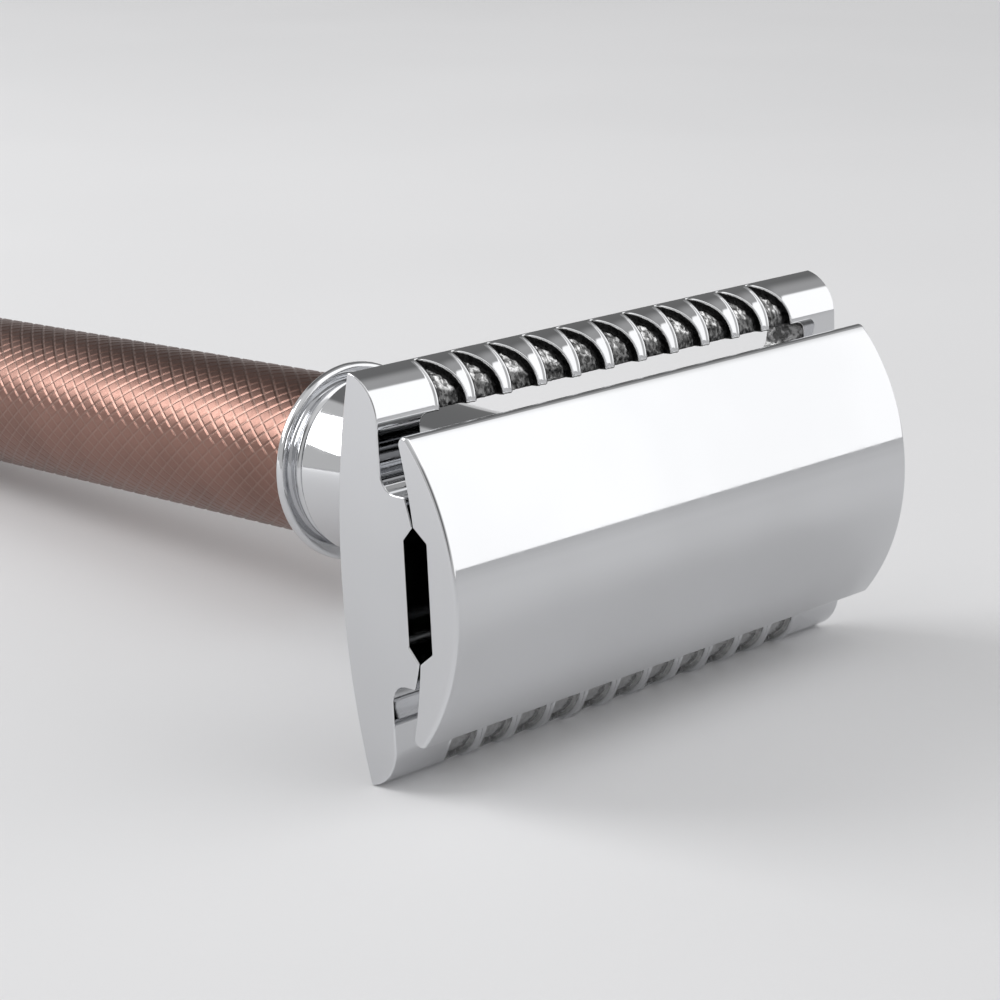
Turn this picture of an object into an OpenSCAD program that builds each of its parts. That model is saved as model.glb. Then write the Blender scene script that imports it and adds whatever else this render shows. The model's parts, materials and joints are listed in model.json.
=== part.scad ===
// Three-piece safety razor, closed and lying on its side.
// Every piece is drawn in the razor's own straight frame: +X runs along the handle to the
// cap's crown, Y along the head and Z across it, with X = 0 near the tips of the two bars.
// lay_down() then tips the razor onto its lower bar and the ring of its end knob.

/* [Head] */
// Length of the cap and the guard
head_l = 43; // [42:0.5:45]
// Width of the guard over both safety bars
guard_w = 26.2; // [26:0.1:27]
// Radius of each rounded safety bar
bar_r = 2.9; // [2.7:0.1:3.1]
// Radius of the guard's rounded back
guard_back_r = 50; // [48:1:56]
// Thickness of the guard behind its shelf, at the middle
guard_t = 4.15; // [4:0.05:4.6]
// Half width of the raised blade bed
bed_half = 6; // [5.8:0.1:6.2]
// Length of the two lather slots
slot_l = 36; // [34:0.5:37]
// Width of the two lather slots
slot_w = 2.2; // [1.8:0.1:2.4]

/* [Scallops] */
// Scallops along each bar
scallops = 11; // [7:2:11]
// Distance from one scallop to the next
scallop_pitch = 3.08; // [3:0.02:3.12]
// Depth of a scallop
scallop_depth = 0.45; // [0.3:0.05:0.6]

/* [Cap] */
// Radius of the cap's crown
crown_r = 14.6; // [14.5:0.1:15]
// Radius of the cap's hollow underside
under_r = 37; // [36:0.5:40]
// Radius of the cap's long rounded edges
cap_edge_r = 0.48; // [0.4:0.02:0.5]

/* [Thread and pins] */
// Nominal diameter of the stud's thread
stud_d = 5; // [4.8:0.1:5.2]
// Pitch of the stud's thread
stud_pitch = 0.8; // [0.7:0.05:1]
// Diameter of the two locating pins
pin_d = 2.8; // [2.4:0.1:3]
// Distance of each locating pin from the stud
pin_y = 9.2; // [8.5:0.1:11]

/* [Handle] */
// Diameter of the grip
grip_d = 12; // [11.6:0.1:12.2]
// Length of the grip
grip_l = 62; // [50:1:75]
// Diameter of the collar's and the knob's rings
ring_d = 14.6; // [14.2:0.1:15]
// Distance from the bar tips back to the front of the collar's ring
neck_l = 25; // [24.5:0.1:26]
// Length of the end knob behind its groove
knob_l = 7; // [6:0.5:9]

/* [Hidden] */
$fn = 96;
eps = 0.01;

// Head sections, as X across the plate and Z over its width
shelf_x = 2.05;
bar_x = shelf_x - bar_r;
bar_z = guard_w / 2 - bar_r;
back_x = shelf_x - guard_t;
back_centre_x = back_x + guard_back_r;
bed_r = 18;
bed_top_x = 5.15;
wall_fillet_r = 1.2;
channel_x = 3.8;
channel_half = 3.3;
mouth_x = 4.7;
mouth_half = 4.25;
slot_z = 7.9 + slot_w / 2;
slot_corner_r = 0.6;

// Scallops: a leaf with one straight side, seen square on to the bar's middle; its arc is
// shallower on the upper bar and fuller on the lower one
bar_turn = 45;
leaf_side = 0.95;
leaf_r = [5, 2.35];
leaf_centre = [[-3.65, -2.71], [-0.9, -0.8]];
leaf_top = 1.9;
leaf_foot = 2.35;

// Cap sections
crown_x = 8.2;
under_x = 4.98;
recess_x = 5.85;
recess_half = 3.4;
crown_c = crown_x - crown_r;
under_c = under_x - under_r;
edge_x = (pow(crown_r - cap_edge_r, 2) - pow(under_r + cap_edge_r, 2) - crown_c * crown_c
    + under_c * under_c) / (2 * (under_c - crown_c));
edge_z = sqrt(pow(crown_r - cap_edge_r, 2) - pow(edge_x - crown_c, 2));

// Stud and pins
stud_r = stud_d / 2;
stud_head_r = 3.6;
stud_head = [6.2, 7.2];
stud_end_x = -12.6;
stud_plain_x = 2.6;
thread_depth = 0.3;
stud_hole_r = stud_r + 0.08;
pin_r = pin_d / 2;
pin_top_x = 7;
pin_end_x = 1;
pin_hole_end_x = 0.5;
pin_hole_r = pin_r + 0.08;

// Collar, as radius and X
seat_x = -3.4;
seat_r = 5.6;
waist_r = 5.3;
waist_x = -9;
waist_curve_r = 90;
neck_edge_r = 0.35;
cove_r = 0.55;
cove_depth_r = 5.8;
ring_r = ring_d / 2;
ring_w = 0.8;
ring_front_r = 0.35;
ring_back_r = 0.3;
ring_x = -neck_l;
neck_end_x = ring_x + 2 * cove_r;
grip_top_x = ring_x - ring_w;
grip_end_x = grip_top_x - grip_l;
insert_r = 4;
insert_end_x = -15;
relief_end_x = -18;
spigot_l = 9;
spigot_r = 4.2;
sleeve_r = 4.25;
o_ring_r = 0.6;
o_ring_back = 6;

// Tie screw and knob
screw_r = 2.5;
screw_hole_r = 2.65;
screw_tip_x = grip_top_x + 4;
screw_head_r = 4.1;
screw_well_r = 4.2;
screw_head_h = 4;
socket_r = 2.3;
socket_depth = 2.4;
washer_t = 1.1;
knob_ring_x = grip_end_x - ring_w;
knob_x = knob_ring_x - 2 * cove_r;
knob_r = 6.5;
knob_corner_r = 2;
knob_end_x = knob_x - knob_l;
plug_t = 1.5;
plug_r = 4.3;
screw_head_x = knob_end_x + plug_t + screw_head_h + 0.3;

// Corner where the bar's round meets the guard's back: the line that the head lies on
tip_gap = [back_centre_x - bar_x, -bar_z];
tip_dist = norm(tip_gap);
tip_along = (bar_r * bar_r - guard_back_r * guard_back_r + tip_dist * tip_dist) / (2 * tip_dist);
tip_off = sqrt(bar_r * bar_r - tip_along * tip_along);
tip_dir = tip_gap / tip_dist;
tip_x = bar_x + tip_along * tip_dir[0] - tip_off * tip_dir[1];
tip_z = bar_z + tip_along * tip_dir[1] + tip_off * tip_dir[0];

// Round of the knob's ring that touches the table, and the tilt that makes both touch
foot_x = knob_ring_x + ring_front_r;
foot_z = ring_r - ring_front_r;
lie_run = norm([tip_x - foot_x, tip_z - foot_z]);
tilt = atan2(tip_z - foot_z, tip_x - foot_x) - asin(ring_front_r / lie_run);
lift = tip_z * cos(tilt) - tip_x * sin(tilt);
far_x = crown_c * cos(tilt) + crown_r;
near_x = (knob_end_x + knob_corner_r) * cos(tilt) - (knob_r - knob_corner_r) * sin(tilt)
    - knob_corner_r;
slide_x = -(far_x + near_x) / 2;

// Tips the straight razor onto its lower bar and the ring of its knob
module lay_down() {
    translate([slide_x, 0, lift])
        rotate([0, -tilt, 0])
            children();
}

// Turns a profile of radius and X about the handle's axis
module lathe() {
    rotate([0, 90, 0])
        rotate_extrude()
            children();
}

// Round bar along X, from one place to another
module bar_x_to(x0, x1, r) {
    translate([x0, 0, 0])
        rotate([0, 90, 0])
            cylinder(h = x1 - x0, r = r);
}

// Rectangle in a lathe profile
module band(x0, x1, r0, r1) {
    translate([r0, x0])
        square([r1 - r0, x1 - x0]);
}

// Carries a section of X and Z along the head
module along_head(length) {
    rotate([90, 0, 0])
        linear_extrude(length, center = true)
            children();
}

// Guard's solid section: rounded back, two round bars, shelf and crowned bed
module guard_section() {
    difference() {
        intersection() {
            translate([back_centre_x, 0])
                circle(guard_back_r, $fn = 240);
            union() {
                for (side = [-1, 1])
                    translate([bar_x, side * bar_z])
                        circle(bar_r);
                translate([-4, -bar_z])
                    square([4 + shelf_x, 2 * bar_z]);
                bed_section();
            }
        }
        channel_section();
    }
}

// Bed with its crown and the two filleted walls down to the shelf
module bed_section() {
    intersection() {
        translate([bed_top_x - bed_r, 0])
            circle(bed_r, $fn = 180);
        translate([0, -bed_half])
            square([bed_top_x, 2 * bed_half]);
    }
    for (side = [0, 1])
        mirror([0, side])
            difference() {
                translate([shelf_x - eps, bed_half - eps])
                    square(wall_fillet_r);
                translate([shelf_x + wall_fillet_r, bed_half + wall_fillet_r])
                    circle(wall_fillet_r);
            }
}

// Channel under the blade, along the middle of the bed
module channel_section() {
    polygon([
        [channel_x, -channel_half], [channel_x, channel_half], [mouth_x, mouth_half],
        [mouth_x + 2, mouth_half], [mouth_x + 2, -mouth_half], [mouth_x, -mouth_half]
    ]);
}

// One scallop's cutter, on the upper bar at Y = 0: a leaf pressed in to a round floor
module scallop(bar) {
    translate([bar_x, 0, bar_z])
        rotate([0, -bar_turn, 0])
            difference() {
                rotate([90, 0, 90])
                    linear_extrude(bar_r + 1)
                        leaf(bar);
                rotate([90, 0, 0])
                    cylinder(h = 8, r = bar_r - scallop_depth, center = true);
            }
}

// Outline of a scallop: straight on one side, an arc on the other
module leaf(bar) {
    intersection() {
        translate(leaf_centre[bar])
            circle(leaf_r[bar]);
        translate([-leaf_side, -leaf_foot])
            square([3, leaf_foot + leaf_top]);
    }
}

// One lather slot's outline, round at its corners
module slot_outline() {
    half_l = slot_l / 2 - slot_corner_r;
    half_w = slot_w / 2 - slot_corner_r;
    square([slot_w, 2 * half_l], center = true);
    square([2 * half_w, slot_l], center = true);
    for (a = [-1, 1], b = [-1, 1])
        translate([a * half_w, b * half_l])
            circle(slot_corner_r);
}

module guard_plate() {
    color("silver")
        difference() {
            union() {
                along_head(head_l)
                    guard_section();
                bar_x_to(seat_x, 0, seat_r);
            }
            for (side = [0, 1])
                rotate([180 * side, 0, 0]) {
                    for (i = [0 : scallops - 1])
                        translate([0, (i - (scallops - 1) / 2) * scallop_pitch, 0])
                            scallop(side);
                    translate([-6, 0, slot_z])
                        rotate([0, 90, 0])
                            linear_extrude(12)
                                slot_outline();
                }
            bar_x_to(seat_x - 1, channel_x + 1, stud_hole_r);
            for (side = [-1, 1])
                translate([0, side * pin_y, 0])
                    bar_x_to(pin_hole_end_x, channel_x + 1, pin_hole_r);
        }
}

// Cap's section: between the crown and the hollow underside, with round long edges
module cap_section() {
    difference() {
        translate([crown_c, 0])
            circle(crown_r, $fn = 240);
        translate([under_c, 0])
            circle(under_r, $fn = 360);
        translate([-60, -20])
            square([60, 40]);
        for (side = [0, 1])
            mirror([0, side])
                edge_cut();
        recess_section();
    }
    for (side = [-1, 1])
        translate([edge_x, side * edge_z])
            circle(cap_edge_r);
}

// What lies past the centre of a long edge's round
module edge_cut() {
    out_dir = [edge_x - crown_c, edge_z] / norm([edge_x - crown_c, edge_z]);
    in_dir = [under_c - edge_x, -edge_z] / norm([edge_x - under_c, edge_z]);
    centre = [edge_x, edge_z];
    polygon([centre, centre + 6 * out_dir, centre + [2, 12], centre + [-6, 12],
        centre + 6 * in_dir]);
}

// Recess along the middle of the underside
module recess_section() {
    polygon([
        [recess_x, -recess_half], [recess_x, recess_half], [mouth_x, mouth_half + 0.02],
        [0, mouth_half + 0.02], [0, -mouth_half - 0.02], [mouth_x, -mouth_half - 0.02]
    ]);
}

module cap_shell() {
    color("silver")
        difference() {
            along_head(head_l)
                cap_section();
            stud_body();
            pin_bodies();
        }
}

// Stud without its thread: shank and the head that is cast into the cap
module stud_body() {
    bar_x_to(stud_end_x, stud_head[0] + eps, stud_r);
    bar_x_to(stud_head[0], stud_head[1], stud_head_r);
}

// Thread cut as a row of V grooves around a shaft
module thread_grooves(x0, x1, r) {
    lathe()
        for (x = [x0 : stud_pitch : x1])
            polygon([
                [r + eps, x - stud_pitch * 0.42], [r + eps, x + stud_pitch * 0.42],
                [r - thread_depth, x + stud_pitch * 0.08], [r - thread_depth, x - stud_pitch * 0.08]
            ]);
}

module cap_stud() {
    color("lightgrey")
        difference() {
            stud_body();
            thread_grooves(stud_end_x + stud_pitch, stud_plain_x, stud_r);
        }
}

module pin_bodies() {
    for (side = [-1, 1])
        translate([0, side * pin_y, 0])
            bar_x_to(pin_end_x, pin_top_x, pin_r);
}

module locating_pins() {
    color("lightgrey")
        pin_bodies();
}

// Thin ring with a round on its front corner and a smaller one behind
module ring_profile(front_r, back_r) {
    band(-ring_w + back_r, -front_r, 0, ring_r);
    band(-ring_w, 0, 0, ring_r - max(front_r, back_r));
    translate([ring_r - front_r, -front_r])
        circle(front_r, $fn = 64);
    translate([ring_r - back_r, -ring_w + back_r])
        circle(back_r, $fn = 64);
    band(-ring_w, -ring_w + back_r, 0, ring_r - back_r);
}

// Neck that narrows to a waist, with a round edge at its back
module neck_profile() {
    edge_centre = neck_r(neck_end_x + neck_edge_r) - neck_edge_r;
    difference() {
        band(neck_end_x + neck_edge_r, seat_x, 0, 8);
        translate([waist_r + waist_curve_r, waist_x])
            circle(waist_curve_r, $fn = 720);
    }
    band(neck_end_x, neck_end_x + neck_edge_r + eps, 0, edge_centre);
    translate([edge_centre, neck_end_x + neck_edge_r])
        circle(neck_edge_r, $fn = 64);
}

// Radius of the neck at a place along it
function neck_r(x) =
    waist_r + waist_curve_r - sqrt(pow(waist_curve_r, 2) - pow(x - waist_x, 2));

// Groove between a ring and what follows it, as the solid left inside it
module cove_profile(top_r) {
    difference() {
        band(-cove_r, cove_r, 0, top_r);
        translate([cove_depth_r + cove_r, 0])
            circle(cove_r, $fn = 64);
    }
}

module neck_collar() {
    color("silver")
        difference() {
            lathe()
                union() {
                    neck_profile();
                    translate([0, ring_x + cove_r])
                        cove_profile(neck_r(neck_end_x + neck_edge_r) - neck_edge_r);
                    translate([0, ring_x])
                        ring_profile(ring_front_r, ring_back_r);
                    difference() {
                        band(grip_top_x - spigot_l, grip_top_x + eps, 0, spigot_r);
                        o_ring_groove(grip_top_x - o_ring_back);
                    }
                }
            bar_x_to(insert_end_x, seat_x + 1, insert_r);
            bar_x_to(relief_end_x, insert_end_x + eps, stud_r + 0.2);
            bar_x_to(grip_top_x - spigot_l - 1, screw_tip_x, screw_r);
        }
}

module o_ring_groove(x) {
    band(x - o_ring_r - 0.05, x + o_ring_r + 0.05, sleeve_r - 2 * o_ring_r, sleeve_r + 1);
}

module thread_insert() {
    color("goldenrod")
        lathe()
            band(insert_end_x, seat_x - 0.2, stud_r + 0.06, insert_r);
}

module o_ring(x) {
    color("dimgrey")
        lathe()
            translate([sleeve_r - o_ring_r, x])
                circle(o_ring_r, $fn = 48);
}

module collar_o_ring() {
    o_ring(grip_top_x - o_ring_back);
}

module knob_o_ring() {
    o_ring(grip_end_x + o_ring_back);
}

module grip_sleeve() {
    color("rosybrown")
        lathe()
            band(grip_end_x, grip_top_x, sleeve_r, grip_d / 2);
}

module tie_screw() {
    color("grey")
        difference() {
            union() {
                bar_x_to(screw_head_x - eps, screw_tip_x, screw_r);
                bar_x_to(screw_head_x - screw_head_h, screw_head_x, screw_head_r);
            }
            thread_grooves(grip_top_x - spigot_l, screw_tip_x - stud_pitch, screw_r);
            translate([screw_head_x - screw_head_h - 1, 0, 0])
                rotate([0, 90, 0])
                    cylinder(h = socket_depth + 1, r = socket_r, $fn = 6);
        }
}

module lock_washer() {
    color("grey")
        lathe()
            band(screw_head_x, screw_head_x + washer_t, screw_hole_r, screw_head_r);
}

module end_knob() {
    color("silver")
        difference() {
            lathe()
                union() {
                    difference() {
                        band(grip_end_x - eps, grip_end_x + spigot_l, 0, spigot_r);
                        o_ring_groove(grip_end_x + o_ring_back);
                    }
                    translate([0, grip_end_x])
                        ring_profile(ring_back_r, ring_front_r);
                    translate([0, knob_ring_x - cove_r])
                        cove_profile(knob_r - neck_edge_r);
                    knob_profile();
                }
            bar_x_to(screw_head_x + washer_t - eps, grip_end_x + spigot_l + 1, screw_hole_r);
            bar_x_to(knob_end_x + plug_t - eps, screw_head_x + washer_t, screw_well_r);
            bar_x_to(knob_end_x - 1, knob_end_x + plug_t, plug_r);
        }
}

// Knob behind its groove: round front edge, large round at the back, flat end
module knob_profile() {
    band(knob_end_x + knob_corner_r, knob_x - neck_edge_r, 0, knob_r);
    band(knob_end_x, knob_x, 0, knob_r - knob_corner_r);
    band(knob_x - neck_edge_r - eps, knob_x, 0, knob_r - neck_edge_r);
    translate([knob_r - knob_corner_r, knob_end_x + knob_corner_r])
        circle(knob_corner_r, $fn = 128);
    translate([knob_r - neck_edge_r, knob_x - neck_edge_r])
        circle(neck_edge_r, $fn = 64);
}

module knob_plug() {
    color("silver")
        bar_x_to(knob_end_x, knob_end_x + plug_t, plug_r);
}

lay_down() guard_plate();
lay_down() cap_shell();
lay_down() cap_stud();
lay_down() locating_pins();
lay_down() neck_collar();
lay_down() thread_insert();
lay_down() collar_o_ring();
lay_down() grip_sleeve();
lay_down() tie_screw();
lay_down() lock_washer();
lay_down() knob_o_ring();
lay_down() end_knob();
lay_down() knob_plug();
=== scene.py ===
"""Looks of a three-piece safety razor: chromed cap, guard, collar and knob, and a knurled grip."""

import json
import math

import bpy
import numpy as np
from bpy.props import FloatProperty, FloatVectorProperty, IntProperty, PointerProperty
from bpy.types import Operator, Panel, PropertyGroup
from mathutils import Matrix, Vector


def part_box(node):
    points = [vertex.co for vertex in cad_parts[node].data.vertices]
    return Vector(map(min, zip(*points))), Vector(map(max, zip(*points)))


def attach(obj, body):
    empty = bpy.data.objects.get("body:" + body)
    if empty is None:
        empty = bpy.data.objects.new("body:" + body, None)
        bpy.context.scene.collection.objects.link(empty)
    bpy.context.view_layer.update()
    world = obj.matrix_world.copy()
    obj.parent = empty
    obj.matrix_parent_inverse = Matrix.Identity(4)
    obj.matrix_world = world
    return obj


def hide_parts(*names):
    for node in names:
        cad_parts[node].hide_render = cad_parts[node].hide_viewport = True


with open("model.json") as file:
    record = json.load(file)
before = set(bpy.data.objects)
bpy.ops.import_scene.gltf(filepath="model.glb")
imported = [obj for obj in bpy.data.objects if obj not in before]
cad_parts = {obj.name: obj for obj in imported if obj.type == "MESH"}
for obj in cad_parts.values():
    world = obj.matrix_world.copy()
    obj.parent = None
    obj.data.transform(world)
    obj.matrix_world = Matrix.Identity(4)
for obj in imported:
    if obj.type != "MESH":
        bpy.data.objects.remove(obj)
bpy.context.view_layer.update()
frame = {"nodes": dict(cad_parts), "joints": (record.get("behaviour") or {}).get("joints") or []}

bl_info = {
    "name": "Safety razor",
    "version": (1, 0, 0),
    "blender": (4, 5, 0),
    "location": "3D View > Sidebar > Razor",
    "description": "Builds the finished surfaces of a three-piece safety razor around its packed CAD",
    "category": "Object",
}

MM = 0.001
TURN = next(j for j in frame["joints"] if j["name"] == "handle_turn")
AXIS = -Vector(TURN["axis"]).normalized()
HEAD = Vector(TURN["pos_m"])
ACROSS = np.array([1.0, 0, 0])

# In millimetres: an edge's round, how close points are welded, the handle's seat in the guard,
# a scallop's straight side from its middle, and how far its share of the bar is moved along
EDGE = 0.1
WELD = 2e-4
SEAT_X = -3.4
LEAF_SIDE = 0.95
CELL_SHIFT = 0.13

# For the upper and the lower bar: the radius of a scallop's arc and its centre's distance
# across and down from the scallop's middle, in millimetres
LEAF_ARCS = ((5, 3.65, 2.71), (2.35, 0.9, 0.8))
# For the upper and the lower bar: the mark of the cast floor, the mark its painted shade adds,
# and the share of the grain's height
CAST_FLOORS = ((1, 1, 1), (0.6, 0.25, 0.25))


def mm(length):
    """A length in metres as millimetres, without single precision's last digits."""
    return round(length / MM, 4)


# ---------------------------------------------------------------- shapes


def to_row(p):
    """Points of the straight razor, in millimetres, as metres where it lies: leant back by
    the handle's angle about Y, then moved to where the handle's axis meets the guard."""
    x, y, z = np.moveaxis(p, -1, 0)
    c, s = AXIS.x, AXIS.z
    return np.stack([HEAD.x + MM * (c * x - s * z), MM * y, HEAD.z + MM * (s * x + c * z)], -1)


def lean(v):
    """Directions of the straight razor, leant back as to_row leans points."""
    x, y, z = np.moveaxis(v, -1, 0)
    c, s = AXIS.x, AXIS.z
    return np.stack([c * x - s * z, y, s * x + c * z], -1)


def unit(v):
    """The same vectors, each one long."""
    return v / np.maximum(np.linalg.norm(v, axis=-1, keepdims=True), 1e-12)


def smooth(x):
    """0 below 0, 1 above 1, and 3x^2 - 2x^3 between."""
    x = np.clip(x, 0, 1)
    return x * x * (3 - 2 * x)


def outline(corners, radii, steps=5):
    """A line through corners, and the normals on its right.

    A corner with a radius becomes an arc that touches both sides: its centre lies that radius
    to the side the line turns to, and the normal turns evenly along it. A corner with radius
    0 is one point of a curve, and its normal halves the angle between the sides."""
    c = np.asarray(corners, float)
    way = unit(np.diff(c, axis=0))
    right = np.stack([way[:, 1], -way[:, 0]], -1)
    points, normals = [c[:1]], [right[:1]]
    for i in range(1, len(c) - 1):
        a, b, r0 = way[i - 1], way[i], right[i - 1]
        turn = math.atan2(a[0] * b[1] - a[1] * b[0], a @ b)
        if radii[i] == 0:
            points.append(c[i][None])
            normals.append(unit(r0 + right[i])[None])
            continue
        angle = np.linspace(0, turn, steps + 1)[:, None]
        n = np.cos(angle) * r0 + np.sin(angle) * a
        side = math.copysign(radii[i], turn)
        centre = c[i] - a * radii[i] * math.tan(abs(turn) / 2) - side * r0
        points.append(centre + side * n)
        normals.append(n)
    points.append(c[-1:])
    normals.append(right[-1:])
    return np.concatenate(points), np.concatenate(normals)


def arc(centre, radius, start, end, count):
    """Points of a circle and its outward normals, for angles from +X towards +Z."""
    a = np.linspace(start, end, count)[:, None]
    n = np.concatenate([np.cos(a), np.sin(a)], 1)
    return np.asarray(centre) + radius * n, n


def round_edge(p0, n0, n1, radius, steps=4, push=None):
    """A rounded edge as rows: from line p0 with normals n0, over to the face with normals n1.

    Each point is the arc's centre plus the radius times cos a push + sin a n1, for a from 0
    to a quarter turn, where push is n0 unless another direction is given."""
    push = n0 if push is None else push
    angle = np.linspace(0, math.pi / 2, steps + 1)[:, None, None]
    radius = np.reshape(radius, (-1, 1))
    points = p0 - radius * push + radius * (np.cos(angle) * push + np.sin(angle) * n1)
    square = n1 - np.sum(n1 * n0, -1, keepdims=True) * n0
    normals = unit(np.cos(angle) * n0 + np.sin(angle) * unit(square))
    normals[-1] = n1
    return points, normals


def carried(flat, y, normal):
    """Points of X and Z carried along Y, and their normals: rows follow the line."""
    y = np.broadcast_to(y, (len(flat), np.shape(y)[-1]))
    x, z = np.broadcast_to(flat[:, :1], y.shape), np.broadcast_to(flat[:, 1:], y.shape)
    nx, nz = np.broadcast_to(normal[:, :1], y.shape), np.broadcast_to(normal[:, 1:], y.shape)
    return np.stack([x, y, z], -1), np.stack([nx, 0 * y, nz], -1)


class Skin:
    """A closed surface made of patches, each with its own normals, welded where they meet."""

    def __init__(self):
        self.patches = []

    def add(self, points, normals, faces, value=0.0):
        """Adds faces over points; they are turned over if they face against the normals."""
        p, n, f = points.reshape(-1, 3), normals.reshape(-1, 3), np.asarray(faces)
        if f.shape[1] > 4:
            ring = p[f[0]]
            facing = np.cross(ring, np.roll(ring, -1, 0)).sum(0) @ n[f[0]].mean(0)
        else:
            across = np.cross(p[f[:, 2]] - p[f[:, 0]], p[f[:, -1]] - p[f[:, 1]])
            facing = np.sum(across * n[f].mean(1))
        if facing < 0:
            f = f[:, ::-1]
        self.patches.append((p, n, np.zeros(len(p)) + np.ravel(value), f))

    def grid(self, points, normals, keep=None, value=0.0):
        """Adds a patch of rows and columns; keep says which cells to use."""
        rows, cols = points.shape[:2]
        i = np.arange(rows * cols).reshape(rows, cols)
        cells = np.stack([i[:-1, :-1], i[1:, :-1], i[1:, 1:], i[:-1, 1:]], -1)
        self.add(points, normals, cells.reshape(-1, 4) if keep is None else cells[keep], value)

    def between(self, a, b, na, nb, centre):
        """Adds triangles between two lines that run the same way around a centre: each step
        is taken on whichever line has turned less."""
        y = np.concatenate([a[:, 1], b[:, 1]]) - centre[0]
        z = np.concatenate([a[:, 2], b[:, 2]]) - centre[1]
        angle = np.arctan2(z, y)
        order = np.argsort(np.concatenate([angle[1:len(a)], angle[len(a) + 1:] + 1e-9]), kind="stable")
        on_a = order < len(a) - 1
        i = np.concatenate([[0], np.cumsum(on_a)])
        j = np.concatenate([[0], np.cumsum(~on_a)]) + len(a)
        third = np.where(on_a, i[1:], j[1:])
        self.add(np.concatenate([a, b]), np.concatenate([na, nb]), np.stack([i[:-1], j[:-1], third], -1))

    def turned_over(self):
        """The same patches, turned half round the handle's axis."""
        over = np.array([1, -1.0, -1.0])
        return [(p * over, n * over, v, f) for p, n, v, f in self.patches]

    def build(self, name, body, slot, node, material):
        """Welds the patches and makes the piece, with its normals set at each face's corners.
        The weld's cells are moved by 0.31 of their size, so that no round size is on an edge."""
        start = np.cumsum([0] + [len(p) for p, _, _, _ in self.patches])
        p = np.concatenate([q[0] for q in self.patches])
        n = np.concatenate([q[1] for q in self.patches])
        value = np.concatenate([q[2] for q in self.patches])
        key = np.floor(p / WELD + 0.31).astype(np.int64)
        _, first, where = np.unique(key, axis=0, return_index=True, return_inverse=True)
        where = where.ravel()
        faces, corners = [], []
        for begin, (_, _, _, local) in zip(start, self.patches):
            f = local + begin
            w = where[f]
            same = w == np.roll(w, -1, 1)
            if f.shape[1] > 4:
                faces.append(w[0][~same[0]].tolist())
                corners.append(f[0][~same[0]])
                continue
            whole = ~same.any(1)
            if f.shape[1] == 4:
                whole &= (w[:, 0] != w[:, 2]) & (w[:, 1] != w[:, 3])
                one = same.sum(1) == 1
                faces += w[one][~same[one]].reshape(-1, 3).tolist()
                corners.append(f[one][~same[one]])
            faces += w[whole].tolist()
            corners.append(f[whole].ravel())
        mesh = bpy.data.meshes.new(name)
        mesh.from_pydata(to_row(p[first]).tolist(), [], faces)
        mesh.polygons.foreach_set("use_smooth", np.ones(len(mesh.polygons), bool))
        mesh.normals_split_custom_set(unit(lean(n[np.concatenate(corners)])).tolist())
        if value.any():
            mark = mesh.attributes.new("mark", "FLOAT", "POINT")
            mark.data.foreach_set("value", value[first].astype(np.float32))
        piece = bpy.data.objects.new(name, mesh)
        bpy.context.scene.collection.objects.link(piece)
        mesh.materials.append(material)
        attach(piece, body)
        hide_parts(node)
        return piece


def turned(skin, path, normals, count=192):
    """Adds a lathe-turned patch: each point of X and radius is carried around the axis, with
    Y = radius cos a and Z = radius sin a."""
    a = np.linspace(0, 2 * math.pi, count + 1)
    c, s = np.cos(a), np.sin(a)
    c[-1], s[-1] = c[0], s[0]
    x, r, nx, nr = (v[:, None] + 0 * a for v in (path[:, 0], path[:, 1], normals[:, 0], normals[:, 1]))
    skin.grid(np.stack([x, r * c, r * s], -1), np.stack([nx, nr * c, nr * s], -1))


# ---------------------------------------------------------------- guard


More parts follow.
